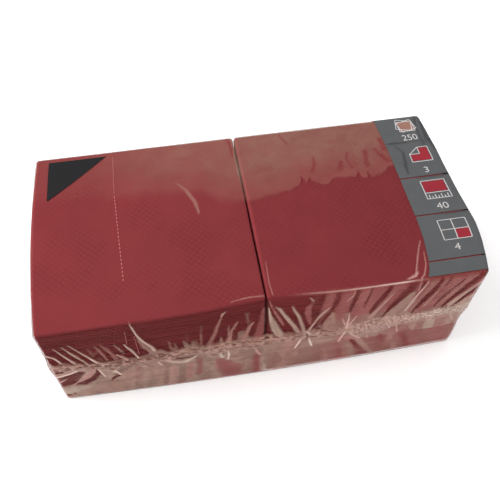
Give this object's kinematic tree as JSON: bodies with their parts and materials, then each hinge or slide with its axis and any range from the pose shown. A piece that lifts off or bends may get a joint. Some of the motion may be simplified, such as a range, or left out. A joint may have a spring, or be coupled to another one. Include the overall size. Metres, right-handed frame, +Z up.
{
  "type": "film-wrapped pack of folded paper napkins",
  "caption": "Two side-by-side stacks of square folded paper napkins, held in one clear film wrap with welded, gathered long sides and a printed grey band at one end.",
  "frame": {"origin": "middle of the underside, on the surface that the pack lies on", "axes": "+X along the pack's length, towards the grey band; +Y to the back; +Z up through the stacks"},
  "size_m": [0.4134, 0.2062, 0.1357],
  "materials": {
    "clear_film": "clear glossy packing film, wrinkled at the weld",
    "napkin_paper": "dark red embossed soft tissue paper",
    "grey_ink": "mid grey print on glossy film",
    "dark_ink": "near-black print on glossy film"
  },
  "bodies": {
    "root": {"film_wrap": "clear_film", "left_napkins": "napkin_paper", "right_napkins": "napkin_paper", "grey_band": "grey_ink", "dark_corner": "dark_ink"}
  },
  "joints": []
}
